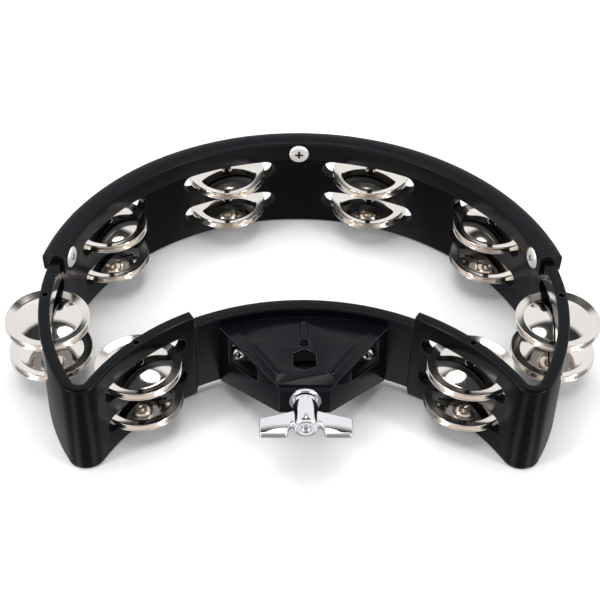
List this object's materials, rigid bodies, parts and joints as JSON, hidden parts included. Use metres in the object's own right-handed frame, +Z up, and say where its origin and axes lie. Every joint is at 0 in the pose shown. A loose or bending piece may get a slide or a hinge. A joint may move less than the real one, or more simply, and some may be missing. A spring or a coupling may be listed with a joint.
{
  "type": "half-moon tambourine",
  "caption": "Crescent-shaped tambourine: moulded rim with pairs of jingles on upright pins, a striking strip along the back edge, and a bracket with a wing screw that clamps a stand rod.",
  "frame": {"origin": "middle of the whole part's footprint, at the height of the rim's base", "axes": "+Z up out of the rim's open top, -Y towards the player and the wing screw, +X to the player's right"},
  "size_m": [0.2896, 0.2162, 0.0543],
  "materials": {
    "black_moulding": "satin gloss black moulding",
    "strip_matte_black": "fine matte black",
    "bracket_black_enamel": "satin black enamel on pressed steel",
    "guide_black_enamel": "satin black enamel",
    "jingle_nickel": "polished nickel plate",
    "pin_steel": "plain steel wire",
    "screw_nickel": "nickel plate",
    "bracket_screw_nickel": "nickel plate",
    "bracket_washer_nickel": "nickel plate",
    "bracket_nut_steel": "zinc-plated steel",
    "wing_chrome": "bright chrome plate",
    "stem_steel": "turned steel",
    "clamp_washer_chrome": "bright chrome plate",
    "clamp_nut_steel": "zinc-plated steel"
  },
  "bodies": {
    "rim": {"frame": "black_moulding", "striking_strip": "strip_matte_black", "strip_screw_left": "screw_nickel", "strip_screw_centre": "screw_nickel", "strip_screw_right": "screw_nickel", "bracket": "bracket_black_enamel", "rod_guide": "guide_black_enamel", "bracket_washer_left": "bracket_washer_nickel", "bracket_washer_right": "bracket_washer_nickel", "bracket_screw_left": "bracket_screw_nickel", "bracket_screw_right": "bracket_screw_nickel", "bracket_nut_left": "bracket_nut_steel", "bracket_nut_right": "bracket_nut_steel", "clamp_washer": "clamp_washer_chrome", "clamp_nut": "clamp_nut_steel", "pin_left": "pin_steel", "pin_mid_left": "pin_steel", "pin_back_left": "pin_steel", "pin_back_right": "pin_steel", "pin_mid_right": "pin_steel", "pin_right": "pin_steel", "pin_front_left": "pin_steel", "pin_front_right": "pin_steel"},
    "clamp_stem": {"clamp_stem": "stem_steel"},
    "clamp_wing": {"clamp_wing": "wing_chrome"},
    "jingle_left_low_under": {"jingle_left_low_under": "jingle_nickel"},
    "jingle_left_low_over": {"jingle_left_low_over": "jingle_nickel"},
    "jingle_left_high_under": {"jingle_left_high_under": "jingle_nickel"},
    "jingle_left_high_over": {"jingle_left_high_over": "jingle_nickel"},
    "jingle_mid_left_low_under": {"jingle_mid_left_low_under": "jingle_nickel"},
    "jingle_mid_left_low_over": {"jingle_mid_left_low_over": "jingle_nickel"},
    "jingle_mid_left_high_under": {"jingle_mid_left_high_under": "jingle_nickel"},
    "jingle_mid_left_high_over": {"jingle_mid_left_high_over": "jingle_nickel"},
    "jingle_back_left_low_under": {"jingle_back_left_low_under": "jingle_nickel"},
    "jingle_back_left_low_over": {"jingle_back_left_low_over": "jingle_nickel"},
    "jingle_back_left_high_under": {"jingle_back_left_high_under": "jingle_nickel"},
    "jingle_back_left_high_over": {"jingle_back_left_high_over": "jingle_nickel"},
    "jingle_back_right_low_under": {"jingle_back_right_low_under": "jingle_nickel"},
    "jingle_back_right_low_over": {"jingle_back_right_low_over": "jingle_nickel"},
    "jingle_back_right_high_under": {"jingle_back_right_high_under": "jingle_nickel"},
    "jingle_back_right_high_over": {"jingle_back_right_high_over": "jingle_nickel"},
    "jingle_mid_right_low_under": {"jingle_mid_right_low_under": "jingle_nickel"},
    "jingle_mid_right_low_over": {"jingle_mid_right_low_over": "jingle_nickel"},
    "jingle_mid_right_high_under": {"jingle_mid_right_high_under": "jingle_nickel"},
    "jingle_mid_right_high_over": {"jingle_mid_right_high_over": "jingle_nickel"},
    "jingle_right_low_under": {"jingle_right_low_under": "jingle_nickel"},
    "jingle_right_low_over": {"jingle_right_low_over": "jingle_nickel"},
    "jingle_right_high_under": {"jingle_right_high_under": "jingle_nickel"},
    "jingle_right_high_over": {"jingle_right_high_over": "jingle_nickel"},
    "jingle_front_left_low_under": {"jingle_front_left_low_under": "jingle_nickel"},
    "jingle_front_left_low_over": {"jingle_front_left_low_over": "jingle_nickel"},
    "jingle_front_left_high_under": {"jingle_front_left_high_under": "jingle_nickel"},
    "jingle_front_left_high_over": {"jingle_front_left_high_over": "jingle_nickel"},
    "jingle_front_right_low_under": {"jingle_front_right_low_under": "jingle_nickel"},
    "jingle_front_right_low_over": {"jingle_front_right_low_over": "jingle_nickel"},
    "jingle_front_right_high_under": {"jingle_front_right_high_under": "jingle_nickel"},
    "jingle_front_right_high_over": {"jingle_front_right_high_over": "jingle_nickel"}
  },
  "joints": [
    {"name": "left_low_under_slide", "type": "slide", "parent": "rim", "child": "jingle_left_low_under", "axis": [0, 0, 1], "range_m": [0, 0.0012]},
    {"name": "left_low_over_slide", "type": "slide", "parent": "jingle_left_low_under", "child": "jingle_left_low_over", "axis": [0, 0, 1], "range_m": [0, 0.0012]},
    {"name": "left_high_under_slide", "type": "slide", "parent": "rim", "child": "jingle_left_high_under", "axis": [0, 0, 1], "range_m": [0, 0.0012]},
    {"name": "left_high_over_slide", "type": "slide", "parent": "jingle_left_high_under", "child": "jingle_left_high_over", "axis": [0, 0, 1], "range_m": [0, 0.0012]},
    {"name": "mid_left_low_under_slide", "type": "slide", "parent": "rim", "child": "jingle_mid_left_low_under", "axis": [0, 0, 1], "range_m": [0, 0.0012]},
    {"name": "mid_left_low_over_slide", "type": "slide", "parent": "jingle_mid_left_low_under", "child": "jingle_mid_left_low_over", "axis": [0, 0, 1], "range_m": [0, 0.0012]},
    {"name": "mid_left_high_under_slide", "type": "slide", "parent": "rim", "child": "jingle_mid_left_high_under", "axis": [0, 0, 1], "range_m": [0, 0.0012]},
    {"name": "mid_left_high_over_slide", "type": "slide", "parent": "jingle_mid_left_high_under", "child": "jingle_mid_left_high_over", "axis": [0, 0, 1], "range_m": [0, 0.0012]},
    {"name": "back_left_low_under_slide", "type": "slide", "parent": "rim", "child": "jingle_back_left_low_under", "axis": [0, 0, 1], "range_m": [0, 0.0012]},
    {"name": "back_left_low_over_slide", "type": "slide", "parent": "jingle_back_left_low_under", "child": "jingle_back_left_low_over", "axis": [0, 0, 1], "range_m": [0, 0.0012]},
    {"name": "back_left_high_under_slide", "type": "slide", "parent": "rim", "child": "jingle_back_left_high_under", "axis": [0, 0, 1], "range_m": [0, 0.0012]},
    {"name": "back_left_high_over_slide", "type": "slide", "parent": "jingle_back_left_high_under", "child": "jingle_back_left_high_over", "axis": [0, 0, 1], "range_m": [0, 0.0012]},
    {"name": "back_right_low_under_slide", "type": "slide", "parent": "rim", "child": "jingle_back_right_low_under", "axis": [0, 0, 1], "range_m": [0, 0.0012]},
    {"name": "back_right_low_over_slide", "type": "slide", "parent": "jingle_back_right_low_under", "child": "jingle_back_right_low_over", "axis": [0, 0, 1], "range_m": [0, 0.0012]},
    {"name": "back_right_high_under_slide", "type": "slide", "parent": "rim", "child": "jingle_back_right_high_under", "axis": [0, 0, 1], "range_m": [0, 0.0012]},
    {"name": "back_right_high_over_slide", "type": "slide", "parent": "jingle_back_right_high_under", "child": "jingle_back_right_high_over", "axis": [0, 0, 1], "range_m": [0, 0.0012]},
    {"name": "mid_right_low_under_slide", "type": "slide", "parent": "rim", "child": "jingle_mid_right_low_under", "axis": [0, 0, 1], "range_m": [0, 0.0012]},
    {"name": "mid_right_low_over_slide", "type": "slide", "parent": "jingle_mid_right_low_under", "child": "jingle_mid_right_low_over", "axis": [0, 0, 1], "range_m": [0, 0.0012]},
    {"name": "mid_right_high_under_slide", "type": "slide", "parent": "rim", "child": "jingle_mid_right_high_under", "axis": [0, 0, 1], "range_m": [0, 0.0012]},
    {"name": "mid_right_high_over_slide", "type": "slide", "parent": "jingle_mid_right_high_under", "child": "jingle_mid_right_high_over", "axis": [0, 0, 1], "range_m": [0, 0.0012]},
    {"name": "right_low_under_slide", "type": "slide", "parent": "rim", "child": "jingle_right_low_under", "axis": [0, 0, 1], "range_m": [0, 0.0012]},
    {"name": "right_low_over_slide", "type": "slide", "parent": "jingle_right_low_under", "child": "jingle_right_low_over", "axis": [0, 0, 1], "range_m": [0, 0.0012]},
    {"name": "right_high_under_slide", "type": "slide", "parent": "rim", "child": "jingle_right_high_under", "axis": [0, 0, 1], "range_m": [0, 0.0012]},
    {"name": "right_high_over_slide", "type": "slide", "parent": "jingle_right_high_under", "child": "jingle_right_high_over", "axis": [0, 0, 1], "range_m": [0, 0.0012]},
    {"name": "front_left_low_under_slide", "type": "slide", "parent": "rim", "child": "jingle_front_left_low_under", "axis": [0, 0, 1], "range_m": [0, 0.0012]},
    {"name": "front_left_low_over_slide", "type": "slide", "parent": "jingle_front_left_low_under", "child": "jingle_front_left_low_over", "axis": [0, 0, 1], "range_m": [0, 0.0012]},
    {"name": "front_left_high_under_slide", "type": "slide", "parent": "rim", "child": "jingle_front_left_high_under", "axis": [0, 0, 1], "range_m": [0, 0.0012]},
    {"name": "front_left_high_over_slide", "type": "slide", "parent": "jingle_front_left_high_under", "child": "jingle_front_left_high_over", "axis": [0, 0, 1], "range_m": [0, 0.0012]},
    {"name": "front_right_low_under_slide", "type": "slide", "parent": "rim", "child": "jingle_front_right_low_under", "axis": [0, 0, 1], "range_m": [0, 0.0012]},
    {"name": "front_right_low_over_slide", "type": "slide", "parent": "jingle_front_right_low_under", "child": "jingle_front_right_low_over", "axis": [0, 0, 1], "range_m": [0, 0.0012]},
    {"name": "front_right_high_under_slide", "type": "slide", "parent": "rim", "child": "jingle_front_right_high_under", "axis": [0, 0, 1], "range_m": [0, 0.0012]},
    {"name": "front_right_high_over_slide", "type": "slide", "parent": "jingle_front_right_high_under", "child": "jingle_front_right_high_over", "axis": [0, 0, 1], "range_m": [0, 0.0012]},
    {"name": "clamp_travel", "type": "slide", "parent": "rim", "child": "clamp_stem", "axis": [0, -1, 0], "range_m": [0, 0.006]},
    {"name": "clamp_turn", "type": "hinge", "parent": "clamp_stem", "child": "clamp_wing", "pos_m": [0, -0.08727, 0.034], "axis": [0, -1, 0], "range_deg": [0, 2160]}
  ],
  "couplings": [
    {"joint": "clamp_travel", "follows": "clamp_turn", "m_per_rad": 0.00015915}
  ]
}
